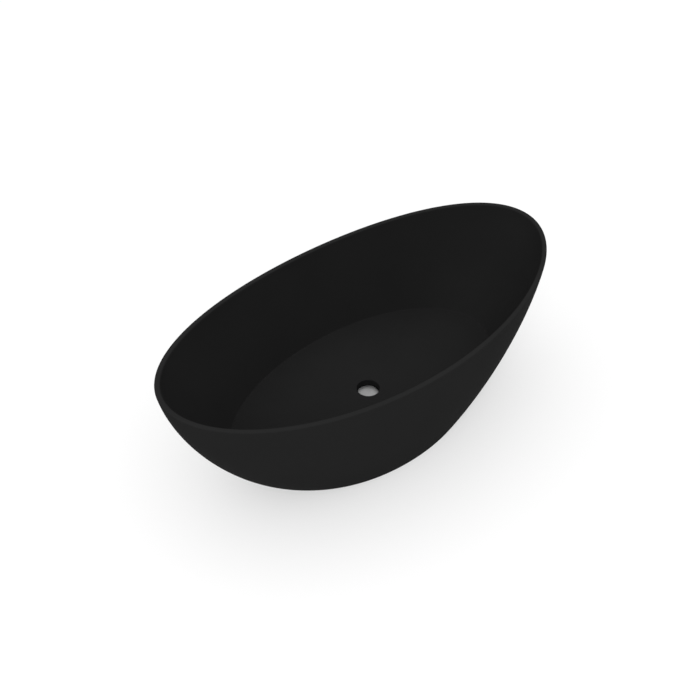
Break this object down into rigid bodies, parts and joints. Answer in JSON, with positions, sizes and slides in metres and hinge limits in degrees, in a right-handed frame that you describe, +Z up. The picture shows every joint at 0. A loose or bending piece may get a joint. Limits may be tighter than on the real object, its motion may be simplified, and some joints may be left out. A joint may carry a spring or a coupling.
{
  "type": "freestanding bathtub",
  "caption": "Oval freestanding bath with a boat-shaped rim, push-down waste in the floor and hidden levelling feet in the plinth.",
  "frame": {"origin": "on the room's floor, under the middle of the waste, with the feet at their rest height", "axes": "+Z up, X along the bath over its raised ends, Y across it; the bath is the same both ways along X and Y"},
  "size_m": [1.6985, 0.8492, 0.5793],
  "materials": {
    "black_solid_surface": "matte",
    "satin_chrome": "satin",
    "bare_brass": "satin",
    "black_rubber": "matte",
    "white_nylon": "satin",
    "spring_steel": "satin",
    "zinc_steel": "satin",
    "black_nylon": "matte"
  },
  "bodies": {
    "tub": {"tub_shell": "black_solid_surface", "waste_flange": "satin_chrome", "waste_top_seal": "black_rubber", "waste_bottom_seal": "black_rubber", "waste_slip_washer": "white_nylon", "waste_backnut": "bare_brass", "plug_cartridge": "white_nylon", "plug_spring": "spring_steel", "foot_1_insert": "bare_brass", "foot_1_locknut": "zinc_steel", "foot_2_insert": "bare_brass", "foot_2_locknut": "zinc_steel", "foot_3_insert": "bare_brass", "foot_3_locknut": "zinc_steel", "foot_4_insert": "bare_brass", "foot_4_locknut": "zinc_steel"},
    "plug": {"plug_stem": "bare_brass", "plug_cap": "satin_chrome", "plug_seal": "black_rubber"},
    "foot_1_base": {"foot_1_pad": "black_nylon", "foot_1_sole": "black_rubber"},
    "foot_1_screw": {"foot_1_stud": "zinc_steel"},
    "foot_2_base": {"foot_2_pad": "black_nylon", "foot_2_sole": "black_rubber"},
    "foot_2_screw": {"foot_2_stud": "zinc_steel"},
    "foot_3_base": {"foot_3_pad": "black_nylon", "foot_3_sole": "black_rubber"},
    "foot_3_screw": {"foot_3_stud": "zinc_steel"},
    "foot_4_base": {"foot_4_pad": "black_nylon", "foot_4_sole": "black_rubber"},
    "foot_4_screw": {"foot_4_stud": "zinc_steel"}
  },
  "joints": [
    {"name": "plug_lift", "type": "slide", "parent": "tub", "child": "plug", "axis": [0, 0, 1], "range_m": [0, 0.009], "deforming": ["plug_spring"]},
    {"name": "foot_1_reach", "type": "slide", "parent": "tub", "child": "foot_1_base", "axis": [0, 0, -1], "range_m": [-0.003, 0.012]},
    {"name": "foot_1_turn", "type": "hinge", "parent": "foot_1_base", "child": "foot_1_screw", "pos_m": [0.32624, 0.13791, 0.05], "axis": [0, 0, -1], "range_deg": [-617.2, 2468.6]},
    {"name": "foot_2_reach", "type": "slide", "parent": "tub", "child": "foot_2_base", "axis": [0, 0, -1], "range_m": [-0.003, 0.012]},
    {"name": "foot_2_turn", "type": "hinge", "parent": "foot_2_base", "child": "foot_2_screw", "pos_m": [-0.32624, 0.13791, 0.05], "axis": [0, 0, -1], "range_deg": [-617.2, 2468.6]},
    {"name": "foot_3_reach", "type": "slide", "parent": "tub", "child": "foot_3_base", "axis": [0, 0, -1], "range_m": [-0.003, 0.012]},
    {"name": "foot_3_turn", "type": "hinge", "parent": "foot_3_base", "child": "foot_3_screw", "pos_m": [-0.32624, -0.13791, 0.05], "axis": [0, 0, -1], "range_deg": [-617.2, 2468.6]},
    {"name": "foot_4_reach", "type": "slide", "parent": "tub", "child": "foot_4_base", "axis": [0, 0, -1], "range_m": [-0.003, 0.012]},
    {"name": "foot_4_turn", "type": "hinge", "parent": "foot_4_base", "child": "foot_4_screw", "pos_m": [0.32624, -0.13791, 0.05], "axis": [0, 0, -1], "range_deg": [-617.2, 2468.6]}
  ],
  "couplings": [
    {"joint": "foot_1_turn", "follows": "foot_1_reach", "rad_per_m": 3590.4},
    {"joint": "foot_2_turn", "follows": "foot_2_reach", "rad_per_m": 3590.4},
    {"joint": "foot_3_turn", "follows": "foot_3_reach", "rad_per_m": 3590.4},
    {"joint": "foot_4_turn", "follows": "foot_4_reach", "rad_per_m": 3590.4}
  ]
}
